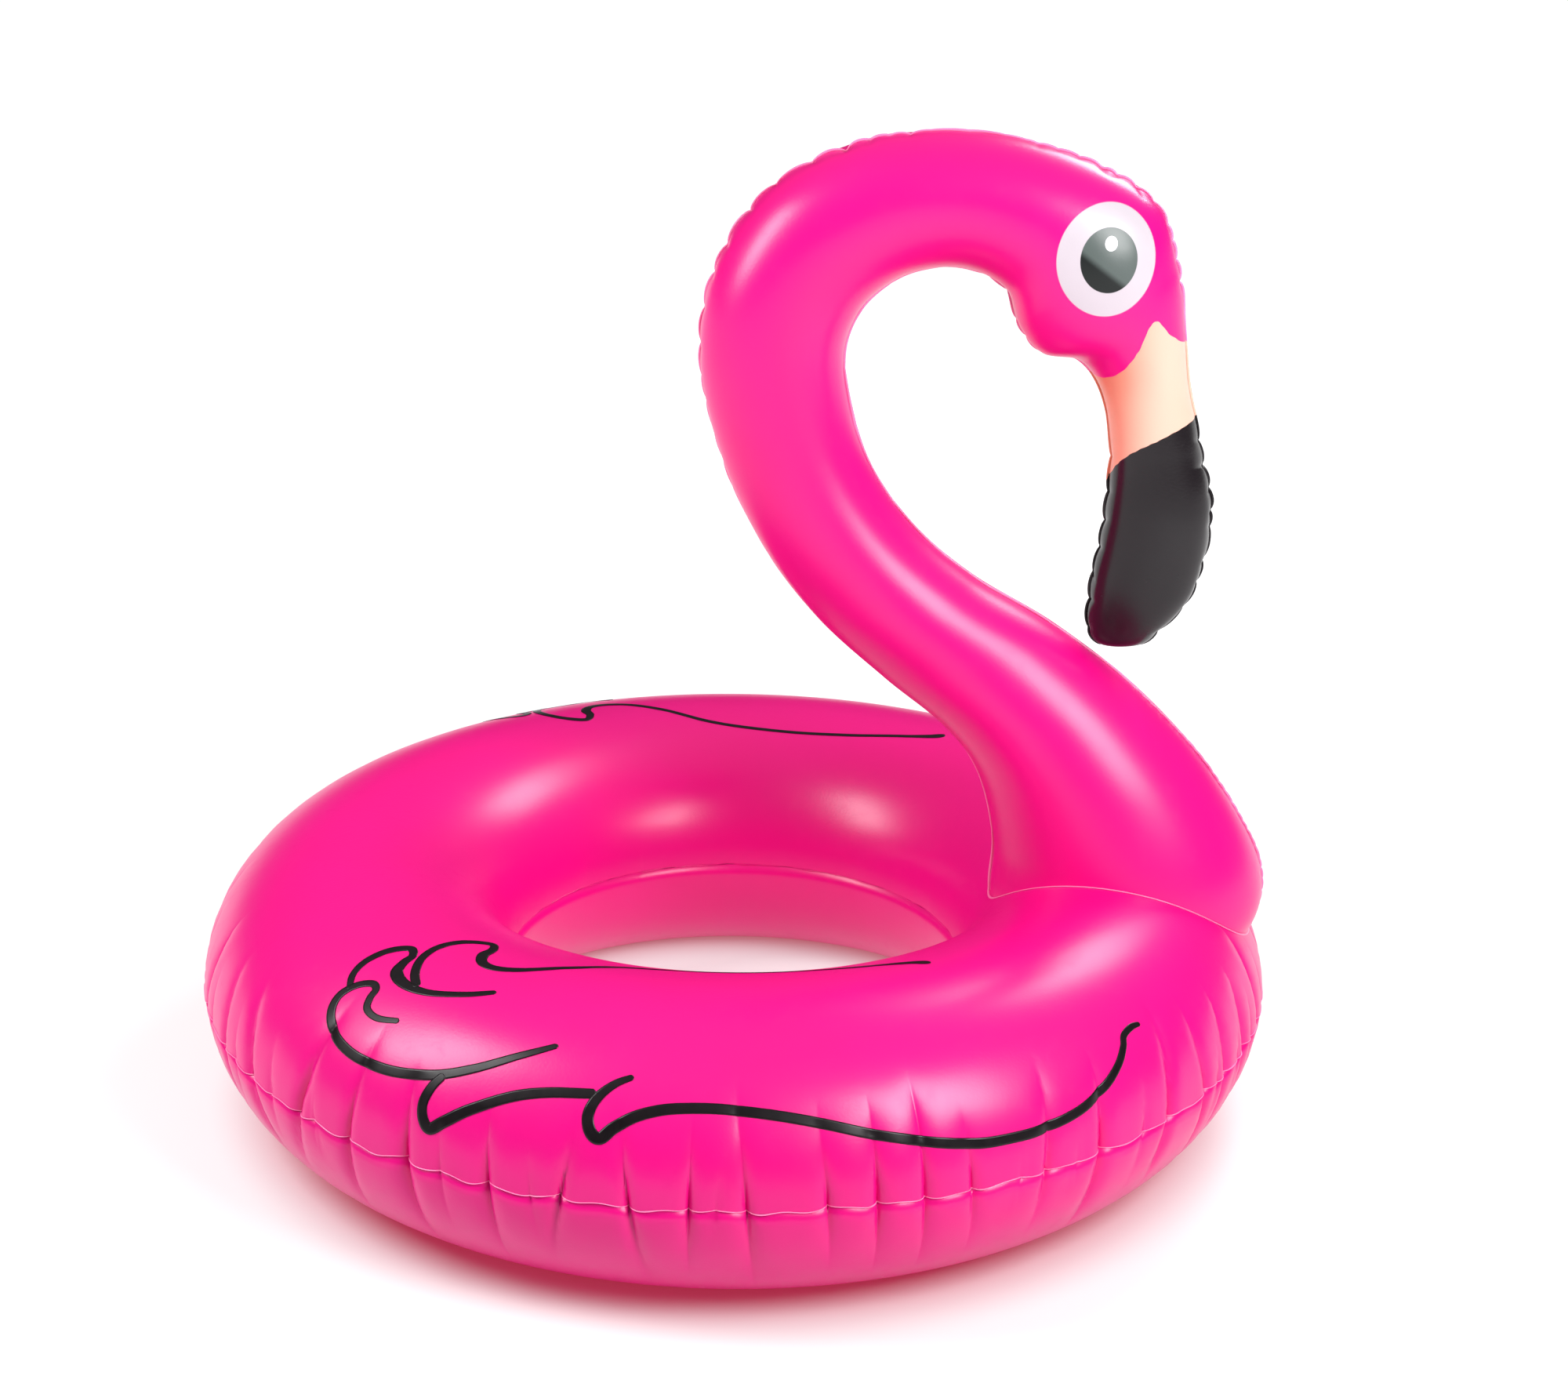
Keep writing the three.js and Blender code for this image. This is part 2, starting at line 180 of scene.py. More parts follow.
class Material:
    """A Principled material under construction."""

    def __init__(self, name, **constants):
        self.made = bpy.data.materials.new(name)
        self.made.use_nodes = True
        self.tree = self.made.node_tree
        self.shader = self.tree.nodes["Principled BSDF"]
        for socket, value in constants.items():
            self.shader.inputs[socket.replace("_", " ")].default_value = value

    def node(self, kind, settings=None, output=0, **sockets):
        """Adds a node. Sockets go by name, or by number as in s0, and take a value or a Wire."""
        node = self.tree.nodes.new("ShaderNode" + kind)
        for key, value in (settings or {}).items():
            if key == "stops":
                self.set_stops(node.color_ramp, value)
            elif key == "curve":
                node.color_ramp.interpolation = value
            else:
                setattr(node, key, value)
        for name, value in sockets.items():
            by_number = name[1:].isdigit()
            socket = node.inputs[int(name[1:]) if by_number else name.replace("_", " ")]
            if isinstance(value, Wire):
                self.tree.links.new(value.output, socket)
            else:
                socket.default_value = value
        return Wire(self.tree, node.outputs[output])

    def set_stops(self, ramp, stops):
        while len(ramp.elements) < len(stops):
            ramp.elements.new(1)
        for element, (place, colour) in zip(ramp.elements, stops):
            element.position = place
            element.color = colour

    def mix(self, share, first, second):
        """A colour that is first where share is 0 and second where it is 1."""
        return self.node("Mix", {"data_type": "RGBA"}, 2, s0=share, s6=first, s7=second)

    def split(self, vector):
        """The X, Y and Z of a vector, as three wires."""
        parts = self.tree.nodes.new("ShaderNodeSeparateXYZ")
        self.tree.links.new(vector.output, parts.inputs[0])
        return [Wire(self.tree, parts.outputs[i]) for i in range(3)]

    def place(self):
        """Where a point is in the object's own frame, as a vector and as three wires."""
        where = self.node("TexCoord", None, "Object")
        return where, self.split(where)

    def feed(self, socket, wire):
        self.tree.links.new(wire.output, self.shader.inputs[socket])


bpy.ops.object.select_all(action="DESELECT")
bpy.ops.mesh.primitive_plane_add(size=60, location=(0, 0, cad_low.z))
floor = bpy.context.object
floor.name = "studio_floor"
bpy.ops.object.transform_apply(location=True, scale=True)
# Painted light: the floor glows by itself, dimmer near the ring than far off, and glows dim and red in a
# band under the ring as a painted shadow.
NEAR_GLOW = (0.54, 0.54, 0.54, 1)
FAR_GLOW = (0.92, 0.92, 0.92, 1)
PAINTED_SHADOW_UNDER_RING = (0.28, 0.02, 0.05, 1)
GREY = (0.45, 0.45, 0.45, 1)
paper = Material("white_paper", Base_Color=GREY, Roughness=0.9, Specular_IOR_Level=0.1)
_, (floor_x, floor_y, _) = paper.place()
from_middle = (floor_x * floor_x + floor_y * floor_y) ** 0.5
# The band of painted shadow under the ring.
under = from_middle.between(0.28, 0.38) * (1 - from_middle.between(0.47, 0.57))
glow = paper.mix(from_middle.between(0.8, 2.4), NEAR_GLOW, FAR_GLOW)
paper.feed("Emission Color", paper.mix(under, glow, PAINTED_SHADOW_UNDER_RING))
paper.shader.inputs["Emission Strength"].default_value = 1
floor.data.materials.append(paper.made)
floor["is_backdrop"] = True


# ---- Pink film ------------------------------------------------------------------------------
# Hot-pink PVC film, calendered to a satin gloss and welded while flat. It has a faint orange-peel
# from the rollers, soft blotches of a deeper pink and dull scuffs from handling.

PINK = (0.76, 0.002, 0.205, 1)
DEEP_PINK = (0.70, 0.001, 0.155, 1)


def pink_film(name):
    """A film material, with its colour, roughness and bump as wires that are still to be fed in."""
    film = Material(name, Base_Color=PINK, Roughness=0.32, IOR=1.5, Specular_IOR_Level=0.37)
    where, _ = film.place()
    blotch = film.node("TexNoise", None, 0, Vector=where, Scale=5.0, Detail=3.0)
    scuff = film.node("TexNoise", None, 0, Vector=where, Scale=60.0, Detail=5.0, Roughness=0.7)
    peel = film.node("TexNoise", None, 0, Vector=where, Scale=420.0, Detail=2.0)
    tint = film.mix(blotch.between(0.35, 0.7) * 0.25, PINK, DEEP_PINK)
    rough = 0.27 + blotch * 0.07 + scuff.between(0.5, 0.75) * 0.05
    bump = film.node("Bump", None, 0, Strength=0.12, Distance=0.0006, Height=peel + scuff * 0.4)
    return film, tint, rough, bump


film, tint, rough, bump = pink_film("pink_film")
film.feed("Base Color", tint)
film.feed("Roughness", rough)
film.feed("Normal", bump)
pink = film.made

# ---- Ring -----------------------------------------------------------------------------------
# Two flat rings of film welded together along their outer and inner edges. Blown up, the outer
# edge is drawn in to a shorter circle, so the film puckers there into sharp upright folds.

TUBE_CENTRE = 0.400
TUBE_WIDTH = 0.160
SEAM_HEIGHT = 0.142
CREST = 0.142
BELLY = 0.146
RING_COLUMNS = 1500
RING_ROWS = 31
FILM = 0.0004
SEAM_GAP = 0.0004 / TUBE_WIDTH  # how far each sheet stops short of its seam, as an angle
OUTSIDE = 2 * math.pi * (TUBE_CENTRE + TUBE_WIDTH)
INSIDE = 2 * math.pi * (TUBE_CENTRE - TUBE_WIDTH)


def fold_marks(rng, length, gaps, depths, reaches, width):
    """Folds along a seam: each has a place, a depth, a half width, two reaches and a lean."""
    marks = []
    place = 0.0
    while place < length - gaps[0] / 2:
        deep = rng.uniform(*depths)
        up, down = rng.uniform(*reaches, 2)
        marks.append((place, deep, width * rng.uniform(0.8, 1.3), up, down, rng.normal(0, 0.12)))
        gap = rng.uniform(*gaps)
        if gap > 0.75 * gaps[1] or rng.random() < 0.35:
            between = place + rng.uniform(0.35, 0.65) * gap
            marks.append((between, 0.3 * deep, width, 0.6 * up, 0.5 * down, rng.normal(0, 0.2)))
        place += gap
    return marks


def fold_depth(marks, along, off, length):
    """How far the folds draw the film in, at a place along a seam and a distance off it."""
    depth = np.zeros(np.broadcast(along, off).shape)
    for place, deep, width, up, down, lean in marks:
        reach = np.where(off > 0, up, down)
        part = np.clip(np.abs(off) / reach, 0, 1)
        side = (along - place - lean * off + length / 2) % length - length / 2
        spread = width * (1 + part)
        sharp = np.exp(-np.abs(side) / spread)
        soft = np.exp(-((side / (3.6 * spread)) ** 2))
        depth += deep * (1 - part) * (0.62 * sharp + 0.38 * soft)
    return depth


ring_rng = np.random.default_rng(11)
OUTER_FOLDS = fold_marks(
    ring_rng, OUTSIDE, gaps=(0.045, 0.105), depths=(0.007, 0.0125), reaches=(0.075, 0.135), width=0.0022
)
INNER_FOLDS = fold_marks(
    ring_rng, INSIDE, gaps=(0.06, 0.16), depths=(0.0004, 0.0012), reaches=(0.02, 0.05), width=0.006
)


def soft_floor(height, edge=0.004):
    """Film that rests on the floor: heights below zero are pressed up to it, with a rounded edge."""
    rounded_off = height + np.sqrt(height**2 + edge**2)
    return 0.5 * rounded_off - 0.5 * edge * np.exp(-np.abs(height) / edge)


def ring_point(turn, angle, lift=0.0):
    """A point of the ring's skin; the angle runs from the outer seam over the crest to the inner."""
    outer_off = TUBE_WIDTH * (np.mod(angle + math.pi, 2 * math.pi) - math.pi)
    inner_off = TUBE_WIDTH * (math.pi - np.mod(angle, 2 * math.pi))
    drawn = fold_depth(OUTER_FOLDS, turn / (2 * math.pi) * OUTSIDE, outer_off, OUTSIDE)
    drawn = drawn + fold_depth(INNER_FOLDS, turn / (2 * math.pi) * INSIDE, inner_off, INSIDE)
    pinch = 0.0007 * np.exp(-np.abs(inner_off) / 0.005)
    swell = 0.0016 * np.exp(-((outer_off / 0.05) ** 2))
    grow = lift - drawn - (pinch - swell)
    half = np.where(np.sin(angle) > 0, CREST, BELLY)
    radius = TUBE_CENTRE + (TUBE_WIDTH + grow) * np.cos(angle)
    wave = seam_wave(turn) * np.exp(-np.abs(outer_off) / 0.03)
    height = SEAM_HEIGHT + (half + grow) * np.sin(angle) + wave
    height = np.maximum(soft_floor(height), -lift)
    return np.stack([radius * np.cos(turn), radius * np.sin(turn), height], -1)


WAVES = [
    (ring_rng.integers(9, 70), ring_rng.uniform(0.0002, 0.0007), ring_rng.uniform(0, 6.28))
    for _ in range(9)
]


def seam_wave(turn):
    """The outer seam wanders a little up and down from fold to fold."""
    return sum(size * np.sin(count * turn + start) for count, size, start in WAVES)


def crowded(marks, length, count):
    """Places along a seam, close together at its folds and wide apart between them."""
    fine = np.linspace(0, length, 20 * count)
    crowd = np.ones_like(fine)
    for place, deep, width, *_ in marks:
        side = (fine - place + length / 2) % length - length / 2
        crowd += 3.0 * min(1, deep / 0.005) * np.exp(-((side / (3 * width)) ** 2))
    total = np.concatenate([[0], np.cumsum((crowd[1:] + crowd[:-1]) / 2)])
    return np.interp(np.linspace(0, total[-1], count), total, fine)


def sheet_from(name, points, material, around=False):
    """A skin through rows of points. With around, points that coincide, as where it closes, are merged."""
    rows, columns = points.shape[:2]
    bpy.ops.object.select_all(action="DESELECT")
    bpy.ops.mesh.primitive_grid_add(x_subdivisions=columns - 1, y_subdivisions=rows - 1)
    sheet = bpy.context.object
    sheet.name = sheet.data.name = name
    sheet.data.vertices.foreach_set("co", points.reshape(-1).astype(np.float32))
    sheet.data.update()
    if around:
        merge_doubles(sheet)
    sheet.data.materials.append(material)
    bpy.ops.object.shade_smooth()
    return sheet


def merge_doubles(piece, distance=0.00002):
    bpy.context.view_layer.objects.active = piece
    bpy.ops.object.mode_set(mode="EDIT")
    bpy.ops.mesh.select_all(action="SELECT")
    bpy.ops.mesh.remove_doubles(threshold=distance)
    bpy.ops.object.mode_set(mode="OBJECT")


def thicken(piece, thickness):
    """Gives a skin the thickness of its film, inwards."""
    wall = piece.modifiers.new("wall", "SOLIDIFY")
    wall.thickness = thickness
    wall.offset = -1
    bpy.context.view_layer.objects.active = piece
    bpy.ops.object.modifier_apply(modifier="wall")


def ring_panel(name, start, end):
    """One of the ring's two sheets, between the tube angles of its seams."""
    turn = crowded(OUTER_FOLDS, OUTSIDE, RING_COLUMNS) / OUTSIDE * 2 * math.pi
    angle = np.linspace(start, end, RING_ROWS + 1)
    panel = sheet_from(name, ring_point(turn[None, :], angle[:, None]), pink, around=True)
    thicken(panel, FILM)
    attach(panel, "ring")
    return panel


VALVE_HOLE = 0.0125
HINGE_OUT = 0.019  # from a valve's axis to the bend in its stopper's strap
HINGE_UP = 0.0044  # from the film to the same bend


def valve_frame(key):
    """Where a valve stands: +Z out of the film and +X along the stopper's strap."""
    joints = {joint["name"]: joint for joint in frame["joints"]}
    out = Vector(joints[f"{key}_valve_push"]["axis"]).normalized()
    swing = joints[f"{key}_stopper_swing"]
    across = Vector(swing["axis"]).normalized()
    strap = across.cross(out)
    origin = Vector(swing["pos_m"]) - HINGE_OUT * strap - HINGE_UP * out
    return Matrix.Translation(origin) @ Matrix((strap, across, out)).transposed().to_4x4()


def combine(piece, other, operation):
    """Cuts another piece out of this one, or joins it on, and leaves one mesh."""
    change = piece.modifiers.new("change", "BOOLEAN")
    change.object = other
    change.operation = operation
    change.solver = "EXACT"
    bpy.context.view_layer.objects.active = piece
    bpy.ops.object.modifier_apply(modifier="change")
    bpy.data.objects.remove(other)


def punch_hole(skin, key):
    """The round hole that was punched in the film for a valve, with a crisp edge."""
    bpy.ops.object.select_all(action="DESELECT")
    bpy.ops.mesh.primitive_cylinder_add(vertices=72, radius=VALVE_HOLE, depth=0.02)
    punch = bpy.context.object
    punch.data.transform(valve_frame(key))
    combine(skin, punch, "DIFFERENCE")
    bpy.ops.object.select_all(action="DESELECT")
    skin.select_set(True)
    bpy.ops.object.shade_smooth_by_angle(angle=math.radians(80))


top_panel = ring_panel("ring_top_skin", math.pi - SEAM_GAP, SEAM_GAP)
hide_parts("ring_top_panel")
punch_hole(top_panel, "ring")
bottom_panel = ring_panel("ring_bottom_skin", -SEAM_GAP, -math.pi + SEAM_GAP)
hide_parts("ring_bottom_panel")


def lip_band(name, inner, outer, thick, closed=True):
    """A welded lip: a thin flat band from inner to outer points, with a rounded free edge."""
    if closed:
        along = np.roll(outer, -1, 0) - np.roll(outer, 1, 0)
    else:
        along = np.gradient(outer, axis=0)
    across = outer - inner
    flat = np.cross(along, across)
    flat /= np.linalg.norm(flat, axis=1, keepdims=True)
    middle = inner + 0.72 * across
    rows = [inner + thick * flat, middle + thick * flat, outer + 0.4 * thick * flat]
    rows += [outer - 0.4 * thick * flat, middle - thick * flat, inner - thick * flat]
    band = np.stack(rows + rows[:1])
    if closed:
        band = np.concatenate([band, band[:, :1]], 1)
    lip = sheet_from(name, band, lip_pink, around=True)
    face_outwards(lip)
    return lip


def face_outwards(piece):
    """Closes a mesh's open ends and turns its faces outwards."""
    bpy.context.view_layer.objects.active = piece
    bpy.ops.object.mode_set(mode="EDIT")
    bpy.ops.mesh.select_all(action="SELECT")
    bpy.ops.mesh.fill_holes(sides=8)
    bpy.ops.mesh.normals_make_consistent(inside=False)
    bpy.ops.object.mode_set(mode="OBJECT")


# ---- Ring welds -----------------------------------------------------------------------------
# The two sheets' edges, melted together into one lip that follows the seam into every fold. The
# outer lip is painted paler than the film, a painted highlight along the seam; round the hole it hardly
# stands out.

LIP = 0.00045  # half the thickness of a lip
LIP_ROOT = 0.0012  # how far a lip starts inside the film
lip_film, lip_tint, lip_rough, lip_bump = pink_film("pink_lip")
# The lip's pale colour is a painted highlight along the seam.
PAINTED_LIP_HIGHLIGHT = (1.0, 0.30, 0.56, 1)
lip_highlight_tint = lip_film.mix(0.7, lip_tint, PAINTED_LIP_HIGHLIGHT)
lip_film.feed("Base Color", lip_highlight_tint)
lip_film.feed("Roughness", lip_rough)
lip_film.feed("Normal", lip_bump)
lip_pink = lip_film.made

seam_turn = crowded(OUTER_FOLDS, OUTSIDE, 1500)[:-1] / OUTSIDE * 2 * math.pi
seam_inner = ring_point(seam_turn, np.zeros_like(seam_turn), -LIP_ROOT)
seam_outer = ring_point(seam_turn, np.zeros_like(seam_turn), 0.0012)
SWAYS = ((67, 0.4), (103, 2.0), (31, 5.0))
sway = sum(np.sin(count * seam_turn + start) for count, start in SWAYS)
seam_outer[:, 2] += 0.0003 * sway
outer_lip = lip_band("ring_outer_lip", seam_inner, seam_outer, LIP)
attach(outer_lip, "ring")
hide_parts("ring_outer_weld")

hole_turn = np.linspace(0, 2 * math.pi, 700)[:-1]
half_turn = np.full_like(hole_turn, math.pi)
hole_inner = ring_point(hole_turn, half_turn, -LIP_ROOT)
hole_outer = ring_point(hole_turn, half_turn, 0.0009)
hole_outer[:, 2] += 0.0007 * np.sin(23 * hole_turn) + 0.0004 * np.sin(41 * hole_turn + 1)
inner_lip = lip_band("ring_inner_lip", hole_inner, hole_outer, LIP)
inner_lip.data.materials[0] = pink
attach(inner_lip, "ring")
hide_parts("ring_inner_weld")

# ---- Wing print -----------------------------------------------------------------------------
# A wing drawn in outline on each side of the ring, in black ink that lies on the film and
# creases with it. Each stroke is drawn once, on the right side, and mirrored for the left.

INK_LIFT = 0.0005  # how far the ink's outside stands off the smooth film
INK = 0.0003
# Strokes as points: degrees round the ring, degrees over the tube, and width in millimetres.
STROKES = [
    [(-104, 55, 6), (-108, 48, 8), (-112, 40.5, 9.5), (-116, 34.7, 10.5), (-121, 31.2, 11), (-126, 31, 11),
     (-130, 34.5, 11), (-132.3, 41, 10.5), (-132.8, 48, 9.5), (-131.7, 54, 8.5), (-130, 57.2, 8),
     (-128.9, 56, 8), (-128.7, 52, 8.5), (-128, 48, 8), (-126, 46.6, 7), (-123.2, 48.6, 6)],
    [(-132.2, 51.5, 7), (-133.5, 57, 8), (-133.7, 64, 8.5), (-132.6, 72, 9), (-130.6, 76.8, 8.5),
     (-129.1, 74.5, 8.5), (-129, 70, 10.5), (-128.4, 65, 13), (-126, 62.2, 11), (-122.5, 62.4, 8),
     (-118, 66.5, 7), (-114.5, 71.3, 6)],
    [(-124.3, 63, 9), (-126.2, 68, 9.5), (-127.6, 75, 9), (-127.8, 83, 8.5), (-126.6, 90.5, 8),
     (-124.4, 95.5, 7.5), (-122.6, 96.8, 7.5), (-121.4, 93, 9.5), (-121.3, 88, 11.5), (-120, 83.7, 10),
     (-117.6, 82.8, 8.5), (-114, 86.4, 7), (-109, 95, 6), (-102, 106, 5.2), (-94, 111.5, 4.6),
     (-83, 113.5, 4.4), (-72, 111, 4.6), (-63, 105.5, 5), (-58.6, 101.5, 7), (-56.6, 98.6, 9),
     (-55.8, 96.6, 6)],
    [(-115, 35.6, 8.5), (-115.9, 30.5, 10), (-116.4, 24, 11), (-116, 18.6, 12), (-115, 15.8, 12.5),
     (-113.6, 19.5, 12.5), (-111, 26.5, 11.5), (-107, 34, 11), (-103.4, 37.6, 10.5), (-98.6, 39.6, 10)],
    [(-95.2, 47, 6), (-97, 43.6, 8), (-98.5, 38, 10), (-99.1, 31.5, 11), (-98.6, 26, 12),
     (-97.6, 24.3, 12.5), (-96.3, 28.8, 12), (-94, 33.8, 11.5), (-90.5, 36.8, 11), (-85, 36.9, 10.5),
     (-78, 32.8, 10.5),
     (-70, 24.6, 10.5), (-62, 17.8, 11), (-56, 16.4, 11), (-50.5, 18.4, 10.5), (-46.5, 22.5, 10),
     (-43.2, 29, 9), (-41.4, 34.5, 8), (-40.6, 38, 7.5), (-39, 39.6, 7), (-37.6, 39.2, 5)],
]


def smooth_curve(points, steps):
    """A curve through all of the points, with steps samples from each to the next."""
    padded = np.concatenate([[2 * points[0] - points[1]], points, [2 * points[-1] - points[-2]]])
    share = np.linspace(0, 1, steps, endpoint=False)[:, None]
    runs = []
    for before, start, stop, after in zip(padded, padded[1:], padded[2:], padded[3:]):
        bend = 2 * before - 5 * start + 4 * stop - after
        twist = after - before + 3 * (start - stop)
        runs.append(start + 0.5 * share * (stop - before + share * (bend + share * twist)))
    return np.concatenate(runs + [points[-1:]])


def stroke_sheet(name, points, side):
    """One inked stroke as a strip on the film, with its ends rounded off."""
    curve = smooth_curve(np.array(points, float), 14)
    angle = np.radians(curve[:, 1])
    around = TUBE_CENTRE + TUBE_WIDTH * np.cos(angle)
    flat = np.stack([np.radians(curve[:, 0]) * around.mean(), angle * TUBE_WIDTH], 1)
    along = np.gradient(flat, axis=0)
    along[:, 0] *= around / around.mean()
    along /= np.linalg.norm(along, axis=1, keepdims=True)
    run = np.concatenate([[0], np.cumsum(np.linalg.norm(np.diff(flat, axis=0), axis=1))])
    full_half = 0.0005 * curve[:, 2]
    from_end = np.minimum(run, run[-1] - run) + 0.0002
    tip = np.minimum(1, from_end / full_half)
    half = full_half * np.sqrt(1 - (1 - tip) ** 2)
    offset = np.linspace(-1, 1, 7)[:, None] * half
    turn = np.radians(curve[:, 0]) - along[:, 1] * offset / around
    tube = angle + along[:, 0] * offset / TUBE_WIDTH
    points = ring_point(side * turn, tube, INK_LIFT)
    return sheet_from(name, points if side < 0 else points[::-1], ink.made)


ink = Material("black_ink", IOR=1.5, Specular_IOR_Level=0.28)
where, _ = ink.place()
grain = ink.node("TexNoise", None, 0, Vector=where, Scale=90.0, Detail=4.0)
ink.feed("Base Color", ink.mix(grain, (0.003, 0.002, 0.003, 1), (0.008, 0.004, 0.006, 1)))
ink.feed("Roughness", 0.25 + grain * 0.12)

for side, name in ((1, "right"), (-1, "left")):
    strips = [stroke_sheet(f"wing_stroke_{i}", line, side) for i, line in enumerate(STROKES)]
    bpy.ops.object.select_all(action="DESELECT")
    for strip in strips:
        strip.select_set(True)
    bpy.context.view_layer.objects.active = strips[0]
    bpy.ops.object.join()
    wing = bpy.context.object
    wing.name = wing.data.name = f"wing_print_{name}"
    thicken(wing, INK)
    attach(wing, "ring")

# ---- Neck and head --------------------------------------------------------------------------
# Two mirrored sheets of film, welded to each other along the back, over the crown, round the beak
# and down the chest. Blown up they swell into a round neck, and the film puckers at its bends.

# Sections from inside the ring to the tip of the beak, in millimetres: back seam (x, z), facing
# point of the front seam (x, z), and half the width. The last ones turn in between two small lobes.
NECK = np.array([
    (285, 150, 480, 150, 118), (271, 226, 544, 204, 128), (272, 290, 552, 272, 121),
    (252, 366, 500, 365, 104), (213, 417, 420, 452, 87), (150, 466, 330, 521, 74),
    (80, 528, 240, 573, 69), (24, 602, 172, 630, 69), (-18, 690, 124, 703, 70), (-42, 790, 103, 790, 72),
    (-30, 882, 117, 845, 73), (25, 965, 152, 878, 72), (118, 1014, 190, 891, 68),
    (225, 1024, 228, 890, 66), (325, 1004, 261, 871, 70), (402, 963, 275, 835, 74),
    (430, 897, 298, 810, 68), (439, 835, 336, 804, 55), (446, 780, 361, 770, 43),
    (463, 718, 372, 712, 43), (478, 650, 369, 645, 46), (466, 570, 359, 572, 40),
    (430, 520, 358, 526, 26), (409, 508, 371, 508, 13), (391, 513, 385, 513, 2),
]) / 1000
LAST_ROW = len(NECK) - 1
NECK_ROWS = 1000
NECK_COLUMNS = 38
BACK, FRONT = 0, math.pi


def neck_section(place):
    """The section at a place, counted in rows: its middle, reach to the back seam and half width."""
    row = np.clip(np.floor(place).astype(int), 0, LAST_ROW - 1)
    share = (place - row)[..., None]
    padded = np.concatenate([[2 * NECK[0] - NECK[1]], NECK, [2 * NECK[-1] - NECK[-2]]])
    before, start, stop, after = (padded[row + i] for i in range(4))
    bend = 2 * before - 5 * start + 4 * stop - after
    twist = after - before + 3 * (start - stop)
    found = start + 0.5 * share * (stop - before + share * (bend + share * twist))
    back, front = found[..., 0:2], found[..., 2:4]
    return (back + front) / 2, (back - front) / 2, found[..., 4]


def neck_skin(place, angle, hand, grow):
    """A point of the smooth skin; the angle runs from the back seam over one side to the front."""
    middle, reach, side = neck_section(place)
    length = np.linalg.norm(reach, axis=-1)
    stretch = np.maximum(length + grow, 0.0002) / length
    flat = middle + reach * (stretch * np.cos(angle))[..., None]
    out = hand * (0.0005 + np.maximum(side + grow, 0.0002) * np.sin(angle))
    return np.stack([flat[..., 0], out, flat[..., 1]], -1)


# How the seams pucker: from row to row, the gaps between folds and their depths in millimetres.
BACK_PUCKERS = [
    (0.8, 8.0, (45, 95), (0.3, 0.9)), (8.0, 9.2, (24, 40), (1.2, 3.0)),
    (9.2, 11.8, (24, 42), (3.8, 5.2)), (11.8, 12.6, (13, 28), (2.5, 4.0)),
    (12.6, 13.6, (20, 40), (0.5, 1.0)), (13.6, 14.3, (15, 26), (1.2, 2.4)),
    (14.3, 16.2, (16, 27), (2.6, 5.0)), (16.2, 18.8, (30, 60), (0.1, 0.4)),
    (18.9, 22.8, (16, 36), (3.4, 5.8)),
]
FRONT_PUCKERS = [
    (0.8, 4.2, (10, 17), (0.8, 1.7)), (4.2, 13.4, (40, 90), (0.2, 0.8)), (13.4, 16.2, (19, 30), (2.8, 4.2)),
    (16.2, 19.0, (30, 60), (0.1, 0.4)), (19.1, 22.8, (24, 40), (2.6, 4.6)),
]
FINE_ROWS = np.linspace(0, LAST_ROW, 4000)


def seam_lengths(angle):
    """How far along its seam each of FINE_ROWS lies."""
    path = neck_skin(FINE_ROWS, np.full_like(FINE_ROWS, angle), 1, 0)
    return np.concatenate([[0], np.cumsum(np.linalg.norm(np.diff(path, axis=0), axis=1))])


def neck_folds(rng, puckers, lengths):
    """Folds along one of the neck's seams, as fold_marks makes them for the ring."""
    marks = []
    for first, last, gaps, depths in puckers:
        place, stop = np.interp([first, last], FINE_ROWS, lengths)
        while place < stop:
            gap = rng.uniform(*gaps) / 1000
            deep = rng.uniform(*depths) / 1000
            reach = 0.010 + 3.2 * deep
            width = min(0.0034, 0.10 * gap) + 0.0002
            up, down = reach * rng.uniform(0.8, 1.3, 2)
            marks.append((place, deep, width, up, down, rng.normal(0, 0.15)))
            place += gap
    return marks


neck_rng = np.random.default_rng(5)
BACK_LENGTHS = seam_lengths(BACK)
FRONT_LENGTHS = seam_lengths(FRONT)
BACK_FOLDS = neck_folds(neck_rng, BACK_PUCKERS, BACK_LENGTHS)
FRONT_FOLDS = neck_folds(neck_rng, FRONT_PUCKERS, FRONT_LENGTHS)
FAR = 100.0  # longer than any seam, so that the folds of an open seam don't come round again
FIRST_ROW = 1.6  # where the shortest columns start


def neck_point(place, angle, hand, lift=0.0):
    """A point of the neck's skin, drawn in at the folds of both seams."""
    place, angle = np.broadcast_arrays(place, angle)
    _, reach, side = neck_section(place)
    radius = (np.linalg.norm(reach, axis=-1) + side) / 2
    along_back = np.interp(place, FINE_ROWS, BACK_LENGTHS)
    along_front = np.interp(place, FINE_ROWS, FRONT_LENGTHS)
    drawn = fold_depth(BACK_FOLDS, along_back, hand * radius * angle, FAR)
    drawn = drawn + fold_depth(FRONT_FOLDS, along_front, hand * radius * (math.pi - angle), FAR)
    return neck_skin(place, angle, hand, lift - drawn)


def ring_depth(point):
    """How far a point lies outside the ring's smooth skin, as a share of the tube's size."""
    across = np.hypot(point[..., 0], point[..., 1]) - TUBE_CENTRE
    return np.hypot(across / TUBE_WIDTH, (point[..., 2] - SEAM_HEIGHT) / CREST) - 1


def foot_places(angle, hand, lift=0.0):
    """Where along the neck each column of its skin comes down on the ring."""
    low, high = np.zeros_like(angle), np.full_like(angle, 3.5)
    for _ in range(40):
        middle = (low + high) / 2
        above = ring_depth(neck_skin(middle, angle, hand, lift)) > 0
        low, high = np.where(above, low, middle), np.where(above, middle, high)
    return high


def neck_columns():
    """Angles from seam to seam, close together near both seams."""
    even = np.linspace(0, 1, NECK_COLUMNS + 1)
    return math.pi * (even - 0.105 * np.sin(2 * math.pi * even))


